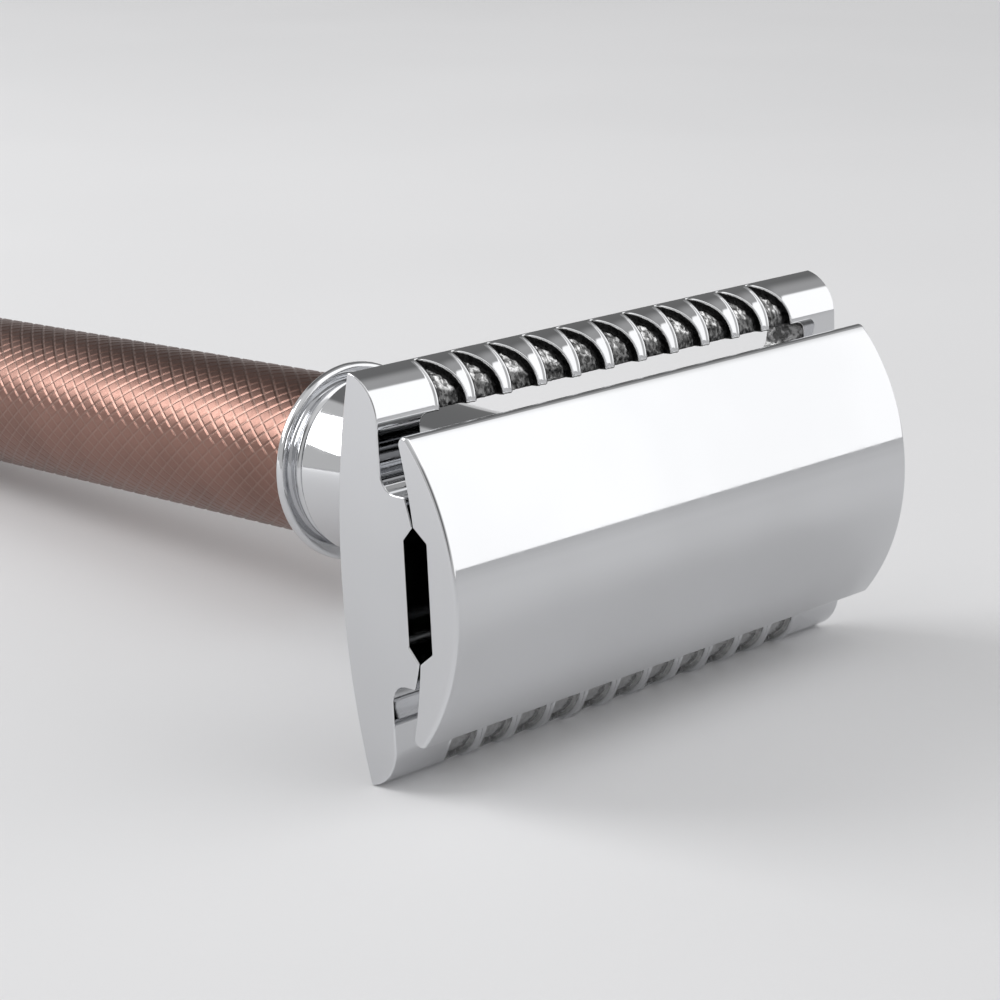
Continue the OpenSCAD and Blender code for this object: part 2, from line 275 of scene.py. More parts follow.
class Guard:
    """The guard's section, in millimetres, worked out from the head's sizes. The tip is the
    circle that fits inside both the bar's and the back's."""

    def __init__(self, size, bar):
        self.half = mm(size.head_length) / 2
        self.leaf = LEAF_ARCS[bar]
        self.wrinkle, self.shade, share = CAST_FLOORS[bar]
        self.shelf = 2.05
        self.floor = 3.8
        self.bar_r = mm(size.bar_radius)
        self.bar = (self.shelf - self.bar_r, mm(size.guard_width) / 2 - self.bar_r)
        self.back_r = mm(size.guard_back_radius)
        self.back_x = self.shelf - mm(size.guard_thickness) + self.back_r
        self.pitch = mm(size.scallop_pitch)
        self.count = size.scallops
        self.depth = mm(size.scallop_depth)
        self.lip = mm(size.scallop_lip)
        self.rough = share * mm(size.scallop_grain)
        self.pin_y = mm(size.pin_distance)
        self.slot = (7.9, 10.1)
        self.corner = 0.6
        self.slot_end = mm(size.slot_length) / 2 - self.corner
        self.tip_r = 0.16
        gap = np.array([self.back_x - self.bar[0], -self.bar[1]])
        far = np.linalg.norm(gap)
        a, b = self.bar_r - self.tip_r, self.back_r - self.tip_r
        along = (a * a - b * b + far * far) / (2 * far)
        off = math.sqrt(a * a - along * along)
        u = gap / far
        self.tip = np.array([self.bar[0] + along * u[0] - off * u[1], self.bar[1] + along * u[1] + off * u[0]])
        self.bar_end = math.atan2(self.tip[1] - self.bar[1], self.tip[0] - self.bar[0])
        self.back_end = math.atan2(self.tip[1], self.tip[0] - self.back_x)

    def back(self, z):
        """The rounded back: X where a circle about the back's centre crosses Z, and normals."""
        x = self.back_x - np.sqrt(self.back_r ** 2 - z ** 2)
        return x, np.stack([(x - self.back_x) / self.back_r, 0 * z, z / self.back_r], -1)

    def rims(self, y):
        """Z of the slot's two rims along Y, an edge's round out from its walls, and the sine
        and cosine of how far the slot's corner has turned there."""
        r = self.corner + EDGE
        s = np.clip((np.abs(y) - self.slot_end) / r, 0, 1)
        c = np.sqrt(1 - s * s)
        return self.slot[0] + self.corner - r * c, self.slot[1] - self.corner + r * c, s, c

    def relief(self, y, u):
        """Height of the bar's surface over its round, and its mark: 0.6 on a smooth cast
        floor, 1 on a wrinkled one, and up to 2 where painted shade darkens it along its walls
        and by the slot.

        A scallop is where two distances are both positive: from its straight side, and into
        the leaf's circle. The floor drops by the depth across a smooth step, with a grain of
        summed waves, and a lip of sin^2 section stands along both sides."""
        last = (self.count - 1) / 2
        rel = y - self.pitch * np.clip(np.round((y - CELL_SHIFT) / self.pitch), -last, last)
        radius, across, down = self.leaf
        straight = rel + LEAF_SIDE
        curved = radius - np.hypot(rel + across, u + down)
        inside = smooth((straight + 0.01) / 0.1) * smooth((curved + 0.01) / 0.12)
        floor = smooth((straight + 0.01) / 0.05) * smooth((curved + 0.02) / 0.05)
        side = np.where((straight < 0) & (straight > -0.4), np.sin(math.pi * straight / 0.4) ** 2, 0)
        rim = np.where((curved < 0) & (curved > -0.2), np.sin(math.pi * curved / 0.2) ** 2, 0)
        lips = np.maximum(side, 0.6 * rim * smooth((straight + 0.05) / 0.1)) * smooth((1.46 - u) / 0.3)
        # Painted shade: marks above 1 darken the floor to black along its walls and towards the slot.
        shade = np.maximum(1 - smooth((curved - 0.2) / 0.25), 1 - smooth(straight / 0.16))
        shade = self.shade * np.maximum(shade, 0.6 * smooth((-0.85 - u - 0.35 * rel) / 0.35))
        rng = np.random.default_rng(5)
        grain = 0 * y
        for wave, way, phase in zip(rng.uniform(9, 24, 9), rng.uniform(0, math.pi, 9), rng.uniform(0, 6.3, 9)):
            grain = grain + np.sin(wave * (y * math.cos(way) + u * math.sin(way)) + phase)
        return self.lip * lips - inside * (self.depth + self.rough * grain), floor * (self.wrinkle + shade)


def scallop_columns(g, u):
    """Y of the columns across one scallop, about its middle, for each height u on the bar.

    They crowd at its straight side and at its arc, where the walls and lips are, and spread
    over the floor and the rib."""
    left, half = -LEAF_SIDE, g.pitch / 2
    radius, across, down = g.leaf
    reach = np.sqrt(np.maximum(radius ** 2 - (u + down) ** 2, 0)) - across
    right = np.maximum(reach, left + 0.03)[:, None]
    wide = right - left
    before = left - np.array([0.4, 0.35, 0.29, 0.23, 0.17, 0.11, 0.05, 0.02, 0.0])
    near = np.array([0.015, 0.035, 0.06, 0.1, 0.14]) * np.minimum(1, wide / 0.6)
    inner = near[:, -1:]
    middle = left + inner + (wide - 2 * inner) * np.linspace(0, 1, 10)[1:-1]
    after = right + np.array([0.0, 0.03, 0.065, 0.1, 0.135, 0.17, 0.2])
    rest = after[:, -1:] + (CELL_SHIFT + half - after[:, -1:]) * np.array([1 / 3, 2 / 3])
    edge = np.full((len(u), 1), CELL_SHIFT - half)
    before = np.broadcast_to(before, (len(u), len(before)))
    return np.concatenate([edge, before, left + near, middle, right - near[:, ::-1], after, rest], 1)


def bar_patch(g, ends):
    """The bar's surface: a round about the bar's centre plus the scallops' relief.

    X = centre + r cos t and Z = centre + r sin t, with r the bar's radius plus the relief at
    Y and u = radius sin(t - 45 degrees). The normal is the surface's, from r's slopes. Near
    the tip the columns ease to one plain row, which the tip and the back carry on."""
    ease_from, scallops_to, bare_from = (math.radians(v) for v in (74.8, 75.5, 76.6))
    t = np.concatenate([np.linspace(0, scallops_to, 46), [bare_from, g.bar_end]])
    u = g.bar_r * np.sin(t - math.pi / 4)
    last = g.pitch * (g.count - 1) / 2
    places = np.linspace(-last, last, g.count)
    y = (places[:, None] + scallop_columns(g, u)[:, None, :]).reshape(len(t), -1)
    low, stop, high = (np.tile(v, (len(t), 1)) for v in (-ends[::-1], [last + CELL_SHIFT + g.pitch / 2], ends))
    y = np.concatenate([low, y, stop, high], 1)
    plain = y[10].copy()
    ease = smooth((t - ease_from) / (g.bar_end - ease_from))[:, None]
    y = y * (1 - ease) + plain * ease
    h, mark = g.relief(y, u[:, None] + 0 * y)
    r = g.bar_r + h
    dy = np.gradient(r, axis=1) / np.gradient(y, axis=1)
    dt = (np.gradient(r, axis=0) - dy * np.gradient(y, axis=0)) / np.gradient(t)[:, None]
    c, s = np.cos(t)[:, None], np.sin(t)[:, None]
    p = np.stack([g.bar[0] + r * c, y, g.bar[1] + r * s], -1)
    n = unit(np.stack([c + dt / r * s, -dy, s - dt / r * c], -1))
    return p, n, mark, plain


def half_guard(size, bar):
    """Half of the guard, worked out patch by patch from its section.

    Each patch is a line of the section carried along Y, with its rows along the line and its
    columns along the length; slot, holes and seat are lofts between the patches' edges."""
    g = Guard(size, bar)
    skin = Skin()
    end = g.half - EDGE
    corner_y = g.slot_end + (g.corner + EDGE) * np.sin(np.linspace(0, math.pi / 2, 5))
    last_y = corner_y[-1]
    ends = np.concatenate([corner_y, [last_y + 0.8, end - 0.8, end]])
    pins = g.pin_y + np.array([-2.2, -1.1, 0, 1.1, 2.2])
    inner = np.concatenate([[0, 1.6, 3.05, 4.8, 6.4], pins, [13, 14.6, 16.2]])
    y = np.concatenate([-ends[::-1], -inner[:0:-1], inner, ends])
    middle_y = (y[1:] + y[:-1]) / 2

    # Front, from the middle of the channel to the slot's inner rim
    bed_x, bed_r, bed_z = 5.15, 18, np.linspace(4.2, 6, 7)
    bed = np.stack([bed_x - bed_r + np.sqrt(bed_r ** 2 - bed_z ** 2), bed_z], 1)
    corners = [(g.floor, 0), (g.floor, 3.3), *bed, (g.shelf, 6.0), (g.shelf, 7.8)]
    line, line_n = outline(corners, [0, 0.12, 0.12, 0, 0, 0, 0, 0, 0.12, 1.2, 0])
    front, front_n = carried(line, y, line_n)
    low, _, s_low, c_low = g.rims(y)
    front[-1, :, 2] = low
    keep = np.ones((front.shape[0] - 1, front.shape[1] - 1), bool)

    # Holes in the channel, by place, half the block left out around each, and radius: each
    # rim's ring is joined to its block, and the middle one opens in to the handle's seat
    holes = [(0.0, 3.05, 2.58), (-g.pin_y, 2.2, 1.48), (g.pin_y, 2.2, 1.48)]
    seat_r, seat_mouth = 5.6, -1.6
    a = np.linspace(0, math.pi, 65)
    c, s = np.cos(a), np.sin(a)
    s[-1] = 0
    for centre, half, r in holes:
        keep[0, np.abs(middle_y - centre) < half] = False
        cols = np.flatnonzero(np.abs(y - centre) < half + 1e-4)
        block = np.concatenate([front[:1, cols[-1]], front[1, cols[::-1]], front[:1, cols[0]]])
        if centre == 0:
            path, path_n = outline([(seat_mouth, seat_r), (SEAT_X, seat_r), (SEAT_X, r), (g.floor, r),
                                    (g.floor, r + 1)], [0, EDGE, EDGE, EDGE, 0], 3)
        else:
            path, path_n = outline([(0.5, 0), (0.5, r), (g.floor, r), (g.floor, r + 1)], [0, EDGE, EDGE, 0], 3)
        path, path_n = path[:-1], path_n[:-1]
        ring = np.stack([path[:, :1] + 0 * a, centre + path[:, 1:] * c, path[:, 1:] * s], -1)
        ring_n = np.stack([path_n[:, :1] + 0 * a, path_n[:, 1:] * c, path_n[:, 1:] * s], -1)
        if centre == 0:
            ring[0, :, 0] = g.back(ring[0, :, 2])[0]
            seat = ring[0]
        skin.grid(ring, ring_n)
        skin.between(block, ring[-1], 0 * block + ACROSS, 0 * ring[-1] + ACROSS, (centre, 0))
    skin.grid(front, front_n, keep)

    # Bar with its scallops, and the round of its tip
    bar, bar_n, mark, plain = bar_patch(g, ends)
    skin.grid(bar, bar_n, value=mark)
    flat, flat_n = arc(g.tip, g.tip_r, g.bar_end, g.back_end, 9)
    tip, tip_n = carried(flat, plain, flat_n)
    tip[0], tip_n[0] = bar[-1], bar_n[-1]
    skin.grid(tip, tip_n)

    # Shelf outside the slot, and the block past each of its ends, front and back
    _, high, s_high, c_high = g.rims(plain)
    strip = np.stack([bar[0], bar[0]])
    strip[0, :, 0], strip[0, :, 2] = g.shelf, high
    past = np.abs(plain) > g.slot_end - 1e-4
    rung = np.linspace(g.slot[0] + g.corner, g.slot[1] - g.corner, 4)
    rung_x, rung_n = g.back(rung)
    flat_shelf = np.stack([g.shelf + 0 * rung, rung], 1)
    for sign in (-1, 1):
        cols = np.flatnonzero(past & (plain * sign > 0))
        skin.grid(strip[:, cols], 0 * strip[:, cols] + ACROSS)
        cols = np.flatnonzero(y * sign > last_y - 1e-4)
        skin.grid(*carried(flat_shelf, y[cols], np.tile([1.0, 0], (4, 1))))
        skin.grid(*carried(np.stack([rung_x, rung], 1), y[cols], rung_n[:, ::2]))

    # Back, outside and inside the slot
    down = np.linspace(0, 1, 5)[:, None]
    back_z = tip[-1, 0, 2] * (1 - down) + high * down
    back_x, outer_n = g.back(back_z)
    outer = np.stack([back_x, plain + 0 * back_z, back_z], -1)
    skin.grid(outer, outer_n)
    back_z = np.concatenate([low[None], np.repeat([[7.2], [6.4], [4.2], [2.1], [0.0]], len(y), 1)])
    back_x, within_n = g.back(back_z)
    within = np.stack([back_x, y + 0 * back_z, back_z], -1)
    keep = np.ones((len(within) - 1, len(y) - 1), bool)
    keep[2:, np.abs(middle_y) < 6.4] = False
    skin.grid(within, within_n, keep)
    cols = np.flatnonzero(np.abs(y) < 6.4 + 1e-4)
    border = np.concatenate([within[:2:-1, cols[-1]], within[2, cols[::-1]], within[3:, cols[0]]])
    skin.between(border, seat, g.back(border[:, 2])[1], g.back(seat[:, 2])[1], (0, 0))

    # Slot: rounded at the front and the back, with walls between
    def slot_wall(p_front, n_front, p_back, n_back, n_wall):
        """Adds one wall of the slot, with its front and its back edge rounded."""
        f, fn = round_edge(p_front, n_front, n_wall, EDGE, push=0 * n_front + ACROSS)
        b, bn = round_edge(p_back, n_back, n_wall, EDGE)
        # The walls' marks of 1.5 and 1.7 give them wrinkled cast grey, darkened with painted shade.
        skin.grid(f, fn, value=1.5)
        skin.grid(b, bn, value=1.5)
        skin.grid(np.stack([f[-1], b[-1]]), np.stack([n_wall, n_wall]), value=1.7)

    cols = np.flatnonzero(np.abs(y) < last_y + 1e-4)
    n_wall = np.stack([0 * y, -np.sign(y) * s_low, c_low], -1)[cols]
    slot_wall(front[-1, cols], front_n[-1, cols], within[0, cols], within_n[0, cols], n_wall)
    cols = np.flatnonzero(np.abs(plain) < last_y + 1e-4)
    n_wall = np.stack([0 * plain, -np.sign(plain) * s_high, -c_high], -1)[cols]
    beyond = (np.abs(plain) > g.slot_end + 1e-4)[:, None]
    top, top_n = np.where(beyond, strip[0], bar[0])[cols], np.where(beyond, ACROSS, bar_n[0])[cols]
    slot_wall(top, top_n, outer[-1, cols], outer_n[-1, cols], n_wall)
    for sign in (-1, 1):
        line = np.stack([g.shelf + 0 * rung, sign * last_y + 0 * rung, rung], -1)
        behind = np.stack([rung_x, line[:, 1], rung], -1)
        slot_wall(line, 0 * line + ACROSS, behind, rung_n, 0 * line + [0, -sign, 0])

    # Ends: the edge of the whole section rounded, then closed flat
    for col, sign in ((0, -1), (-1, 1)):
        face = np.stack([g.shelf + 0 * rung, 0 * rung + sign * end, rung], -1)[1:-1]
        rear = np.stack([rung_x, 0 * rung + sign * end, rung], -1)[-2:0:-1]
        loop = np.concatenate([front[:, col], face, strip[:1, col], bar[:, col], tip[1:, col],
                               outer[1:, col], rear, within[:, col]])
        loop_n = np.concatenate([front_n[:, col], 0 * face + ACROSS, [ACROSS], bar_n[:, col], tip_n[1:, col],
                                 outer_n[1:, col], rung_n[-2:0:-1], within_n[:, col]])
        p, n = round_edge(loop, loop_n, 0 * loop + [0, sign, 0], EDGE)
        skin.grid(p, n)
        skin.add(p[-1], n[-1], np.arange(len(loop))[None])
    return skin


def guard_skin(size):
    """The guard: both bars alike after half a turn, but for the arcs of their scallops."""
    skin = half_guard(size, 0)
    skin.patches += half_guard(size, 1).turned_over()
    return skin


# ---------------------------------------------------------------- cap, collar, knob, grip


def cap_skin(size):
    """The cap: crown arc, round long edge, hollow underside and recess, carried along Y.

    The edge's circle touches the crown's and the underside's: its centre is the crown's
    radius less its own from one centre, and the underside's plus its own from the other. The
    ends' round shrinks to a plain edge's over the last points of the crown and the long edge."""
    skin = Skin()
    half, crown_r, under_r = mm(size.head_length) / 2, mm(size.crown_radius), mm(size.hollow_radius)
    edge_r = mm(size.cap_edge_radius)
    crown_x, under_x, recess_x, recess_z, mouth_z = 8.2, 4.98, 5.85, 3.4, 4.244
    crown_c, under_c = crown_x - crown_r, under_x - under_r
    a, b = crown_r - edge_r, under_r + edge_r
    ex = (a * a - b * b - crown_c ** 2 + under_c ** 2) / (2 * (under_c - crown_c))
    ez = math.sqrt(a * a - (ex - crown_c) ** 2)
    top, low = math.atan2(ez, ex - crown_c), math.atan2(ez, ex - under_c)
    crown, crown_n = arc((crown_c, 0), crown_r, 0, top, 64)
    edge, edge_n = arc((ex, ez), edge_r, top, math.pi + low, 21)
    under, under_n = arc((under_c, 0), under_r, low, math.asin(mouth_z / under_r), 14)
    inside, inside_n = outline([under[-2], under[-1], (recess_x, recess_z), (recess_x, 0)], [0, 0.12, 0.12, 0])
    flat = np.concatenate([crown, edge[1:], under[1:-1], inside[1:]])
    normal = np.concatenate([crown_n, edge_n[1:], -under_n[1:-1], inside_n[1:]])
    last = len(crown) + len(edge) - 2
    soft = EDGE + (mm(size.cap_end_round) - EDGE) * smooth((last - np.arange(len(flat))) / 17)
    y = np.linspace(-1, 1, 15)[None, :] * (half - soft[:, None])
    p, n = carried(flat, y, normal)
    skin.grid(p, n)
    for col, sign in ((0, -1), (-1, 1)):
        q, qn = round_edge(p[:, col], n[:, col], 0 * p[:, col] + [0, sign, 0], soft, 6)
        skin.grid(q, qn)
        skin.add(q[-1], qn[-1], np.arange(len(flat))[None])
    skin.patches += skin.turned_over()
    return skin


class Handle:
    """Places along the handle, in millimetres back from the guard's tips, and its radii."""

    def __init__(self, size):
        self.ring_r = mm(size.ring_diameter) / 2
        self.grip_r = mm(size.grip_diameter) / 2
        self.ring = -mm(size.neck_length)
        self.neck = self.ring + 1.1
        self.top = self.ring - 0.8
        self.foot = self.top - mm(size.grip_length)
        self.knob_ring = self.foot - 0.8
        self.knob = self.knob_ring - 1.1
        self.end = self.knob - mm(size.knob_length)
        self.seat = self.end + 5.8 + 1.1
        self.groove_r, self.knob_r = 5.8, 6.5
        self.spigot, self.spigot_r = 9, 4.2
        self.seal, self.seal_half, self.seal_r = 6, 0.65, 3.05
        self.plug_r, self.plug_depth = 4.3, 1.5


def collar_skin(size):
    """The collar, turned: a neck on a wide arc about its waist, a groove, and a thin ring with
    rounded edges, on a spigot with its sealing ring's groove. Inside are the stud's bore, the
    insert's seat, and the tie screw's hole."""
    h = Handle(size)
    waist_x, waist_r, waist_arc = -9, 5.3, 90
    x = np.linspace(SEAT_X, h.neck, 30)
    neck = np.stack([x, waist_r + waist_arc - np.sqrt(waist_arc ** 2 - (x - waist_x) ** 2)], 1)
    near, far = h.top - h.seal + h.seal_half, h.top - h.seal - h.seal_half
    foot, screw, screw_r = h.top - h.spigot, h.top + 4, 2.5
    corners = [(-18, 0), (-18, 2.7), (-15, 2.7), (-15, 4), (SEAT_X, 4), *neck, (h.neck, h.groove_r),
               (h.ring, h.groove_r), (h.ring, h.ring_r), (h.top, h.ring_r), (h.top, h.spigot_r),
               (near, h.spigot_r), (near, h.seal_r), (far, h.seal_r), (far, h.spigot_r),
               (foot, h.spigot_r), (foot, screw_r), (screw, screw_r), (screw, 0)]
    radii = [0, 0.05, 0.05, 0.05, 0.1, 0.15] + [0] * 28 + [0.2, 0.42, 0.42, 0.35, 0.3] + [0.05] * 9 + [0]
    skin = Skin()
    turned(skin, *outline(corners, radii, 8))
    return skin


def knob_skin(size):
    """The end knob, turned: spigot, ring, groove, a round-shouldered end, and the bore that
    the tie screw goes through, with its well and the plug's seat."""
    h = Handle(size)
    bore_r, well_r = 2.65, 4.2
    near, far = h.foot + h.seal + h.seal_half, h.foot + h.seal - h.seal_half
    top, ledge = h.foot + h.spigot, h.end + h.plug_depth
    corners = [(top, bore_r), (top, h.spigot_r), (near, h.spigot_r), (near, h.seal_r), (far, h.seal_r),
               (far, h.spigot_r), (h.foot, h.spigot_r), (h.foot, h.ring_r), (h.knob_ring, h.ring_r),
               (h.knob_ring, h.groove_r), (h.knob, h.groove_r), (h.knob, h.knob_r), (h.end, h.knob_r),
               (h.end, h.plug_r), (ledge, h.plug_r), (ledge, well_r), (h.seat, well_r),
               (h.seat, bore_r), (top, bore_r)]
    radii = [0, 0.1, 0.05, 0.05, 0.05, 0.05, 0.05, 0.3, 0.35, 0.42, 0.42, 0.25, 2.0, 0.08, 0.04, 0.04, 0.05, 0.05, 0]
    skin = Skin()
    turned(skin, *outline(corners, radii, 8))
    return skin


def plug_skin(size):
    """The plug in the knob's end, turned: a disc with an eased edge."""
    h = Handle(size)
    skin = Skin()
    inner, radius = h.end + 1.48, 4.27
    corners = [(inner, 0), (inner, radius), (h.end, radius), (h.end, 0)]
    turned(skin, *outline(corners, [0, 0.05, 0.15, 0], 4), count=96)
    return skin


def grip_skin(size):
    """The grip: a tube with V grooves along two families of helices that cross.

    Each row of points is half a step round from the last, so that every line of the mesh runs
    along one family. A point's count in a family is half its place plus or less its row;
    grooves are at whole counts over six, and the radius is the crest's less the depth times
    the deeper groove, falling evenly over a sixth of the distance between grooves. The normals
    on a groove's sides lie half way to the tube's, which softens its edges."""
    h = Handle(size)
    bore_r, sixth, n = 4.25, 6, 6 * size.knurl_starts
    rows = int(round((h.top - h.foot) / (mm(size.knurl_pitch) / (2 * sixth))))
    i = np.arange(rows + 1)[:, None]
    k = np.arange(n)[None, :]
    place = 2 * k + i % 2
    a = place * math.pi / n
    x = h.top - (h.top - h.foot) * i / rows + 0 * a
    share = [np.abs((count / (2 * sixth) + 0.5) % 1 - 0.5) * sixth for count in (place + i, place - i)]
    deep = np.clip(1 - np.minimum(*share), 0, 1)
    r = h.grip_r - mm(size.knurl_depth) * deep
    points = np.stack([x, r * np.cos(a), r * np.sin(a)], -1)
    inner = np.stack([x, bore_r * np.cos(a), bore_r * np.sin(a)], -1)
    radial = np.stack([0 * a, np.cos(a), np.sin(a)], -1)
    index = np.arange((rows + 1) * n).reshape(rows + 1, n)
    mid = np.arange(1, rows)[:, None]
    even = (mid + 1) % 2
    quads = np.stack([index[mid - 1, k], index[mid, (k + even) % n], index[mid + 1, k],
                      index[mid, (k + even - 1) % n]], -1).reshape(-1, 4)
    first = np.stack([index[0], np.roll(index[0], -1), index[1]], -1)
    lower = np.roll(index[-2], -(rows % 2))
    final = np.stack([index[-1], np.roll(index[-1], -1), lower], -1)
    flat, around, depth = points.reshape(-1, 3), radial.reshape(-1, 3), deep.ravel()
    skin = Skin()
    for faces in (quads, first, final):
        p = flat[faces]
        way = np.cross(p[:, 2] - p[:, 0], p[:, -1] - p[:, 1])
        way = unit(way * np.sign(np.sum(way * around[faces[:, 0]], -1, keepdims=True)))
        crest = (depth[faces].max(1) == 0)[:, None, None]
        normals = np.where(crest, around[faces], unit(way[:, None, :] + around[faces]))
        skin.add(p, normals, np.arange(faces.size).reshape(faces.shape), value=depth[faces])
    closed = np.append(np.arange(n), 0)
    for row, sign in ((0, 1), (-1, -1)):
        ring = np.stack([points[row], inner[row]])[:, closed]
        skin.grid(ring, 0 * ring + [sign, 0, 0])
    tube = inner[[0, -1]][:, closed]
    skin.grid(tube, -radial[[0, -1]][:, closed])
    return skin


# ---------------------------------------------------------------- finishes


def node(tree, kind, values=None, **settings):
    """A shader node with its settings, and its inputs set or linked by name or number."""
    made = tree.nodes.new(kind)
    for key, value in settings.items():
        setattr(made, key, value)
    for key, value in (values or {}).items():
        if isinstance(value, bpy.types.NodeSocket):
            tree.links.new(value, made.inputs[key])
        else:
            made.inputs[key].default_value = value
    return made


def spread(tree, value, start, end, low, high):
    """A value carried smoothly from one range to another."""
    ends = {"Value": value, "From Min": start, "From Max": end, "To Min": low, "To Max": high}
    return node(tree, "ShaderNodeMapRange", ends, interpolation_type="SMOOTHSTEP").outputs[0]


def maths(tree, operation, a, b):
    """Two values put together."""
    return node(tree, "ShaderNodeMath", {0: a, 1: b}, operation=operation).outputs[0]


def mixed(tree, share, a, b):
    """One colour blended into another by a share."""
    ends = [value if isinstance(value, bpy.types.NodeSocket) else (*value, 1) for value in (a, b)]
    made = node(tree, "ShaderNodeMix", data_type="RGBA")
    for slot, value in ((0, share), (6, ends[0]), (7, ends[1])):
        if isinstance(value, bpy.types.NodeSocket):
            tree.links.new(value, made.inputs[slot])
        else:
            made.inputs[slot].default_value = value
    return made.outputs[2]


def grain(tree, where, scale, detail=3.0, stretch=(1, 1, 1)):
    """Noise in the razor's own straight directions, stretched along any of them."""
    turn = (0.0, math.atan2(AXIS.z, AXIS.x), 0.0)
    placed = node(tree, "ShaderNodeMapping", {"Vector": where, "Rotation": turn, "Scale": stretch})
    return node(tree, "ShaderNodeTexNoise", {"Vector": placed.outputs[0], "Scale": scale,
                                             "Detail": detail}).outputs["Fac"]


def finish(name, colour, dark, metallic, rough, fine, stretch, scale, depth, marked=None, specular=0.5):
    """A worked surface: a colour that drifts to a darker one, a roughness that wavers between
    two values at a fine scale, and a shallow relief of the same marks. Where the piece has
    marks of its own, marked changes the colour, the roughness and the relief there."""
    material = bpy.data.materials.new(name)
    material.use_nodes = True
    tree = material.node_tree
    tree.nodes.clear()
    where = node(tree, "ShaderNodeTexCoord").outputs["Object"]
    broad = grain(tree, where, scale / 6, 2.0)
    marks = grain(tree, where, fine, 4.0, stretch)
    tone = mixed(tree, spread(tree, broad, 0.35, 0.7, 0, 1), colour, dark)
    dull = spread(tree, marks, 0.3, 0.7, *rough)
    bump = node(tree, "ShaderNodeBump", {"Height": marks, "Strength": 1.0, "Distance": depth}).outputs[0]
    if marked:
        mark = node(tree, "ShaderNodeAttribute", attribute_name="mark").outputs["Fac"]
        tone, dull, bump = marked(tree, where, mark, tone, dull, bump)
    shader = node(tree, "ShaderNodeBsdfPrincipled", {
        "Base Color": tone, "Metallic": metallic, "Roughness": dull, "Specular IOR Level": specular,
        "Normal": bump})
    node(tree, "ShaderNodeOutputMaterial", {"Surface": shader.outputs[0]})
    material.diffuse_color = (*colour, 1)
    return material


def cast_floor_and_painted_shade(tree, where, mark, tone, dull, bump):
    """Dull grey casting where the mark is 0.6, wrinkled at 1, darkened by painted shade to black at 2."""
    floor = spread(tree, mark, 0.2, 0.7, 0, 1)
    wrinkled = spread(tree, mark, 0.88, 1.0, 0.12, 1)
    shade = spread(tree, mark, 1.0, 1.85, 0, 1)
    folds = grain(tree, where, 2100, 5.0, (1, 1.7, 1))
    grey = mixed(tree, spread(tree, folds, 0.42, 0.6, 0, 1), (0.2, 0.2, 0.2), (0.92, 0.92, 0.92))
    grey = mixed(tree, wrinkled, (0.52, 0.52, 0.52), grey)
    # Painted shade: the casting's grey goes to near black as the mark rises from 1 to 1.85.
    grey = mixed(tree, shade, grey, (0.022, 0.022, 0.022))
    tone = mixed(tree, floor, tone, grey)
    dull = maths(tree, "ADD", dull, spread(tree, mark, 0.3, 1, 0, 0.32))
    height = maths(tree, "MULTIPLY", folds, maths(tree, "MULTIPLY", floor, wrinkled))
    relief = node(tree, "ShaderNodeBump", {"Height": height, "Strength": 1.0, "Distance": 1.5e-4, "Normal": bump})
    return tone, dull, relief.outputs[0]


def painted_groove_highlight(tree, where, mark, tone, dull, bump):
    """Paler grey painted into the bottoms of the knurl's grooves: a painted highlight standing in for light caught
    along them.
    """
    highlight_share = spread(tree, mark, 0.4, 0.95, 0, 0.4)
    return mixed(tree, highlight_share, tone, (0.30, 0.22, 0.19)), dull, bump


def chrome(name="bright_chrome", marked=None):
    """Mirror chrome with a faint polishing drift."""
    look = bpy.context.scene.razor_finish
    tone = tuple(look.chrome)
    return shared(name, lambda: finish(name, tone, tuple(0.95 * v for v in tone), 1.0, (0.035, 0.075), 900,
                                       (1, 1, 1), 400, 2e-7, marked=marked))


def shared(name, make):
    """The material of that name, made once."""
    return bpy.data.materials.get(name) or make()


def dress(material, *nodes):
    """Gives carried-over CAD nodes their finish."""
    for name in nodes:
        mesh = frame["nodes"][name].data
        mesh.materials.clear()
        mesh.materials.append(material)


# ---------------------------------------------------------------- settings


def long(name, text, default, low, high):
    """A length setting, in metres."""
    return FloatProperty(name=name, description=text, default=default, min=low, max=high, unit="LENGTH", precision=5)


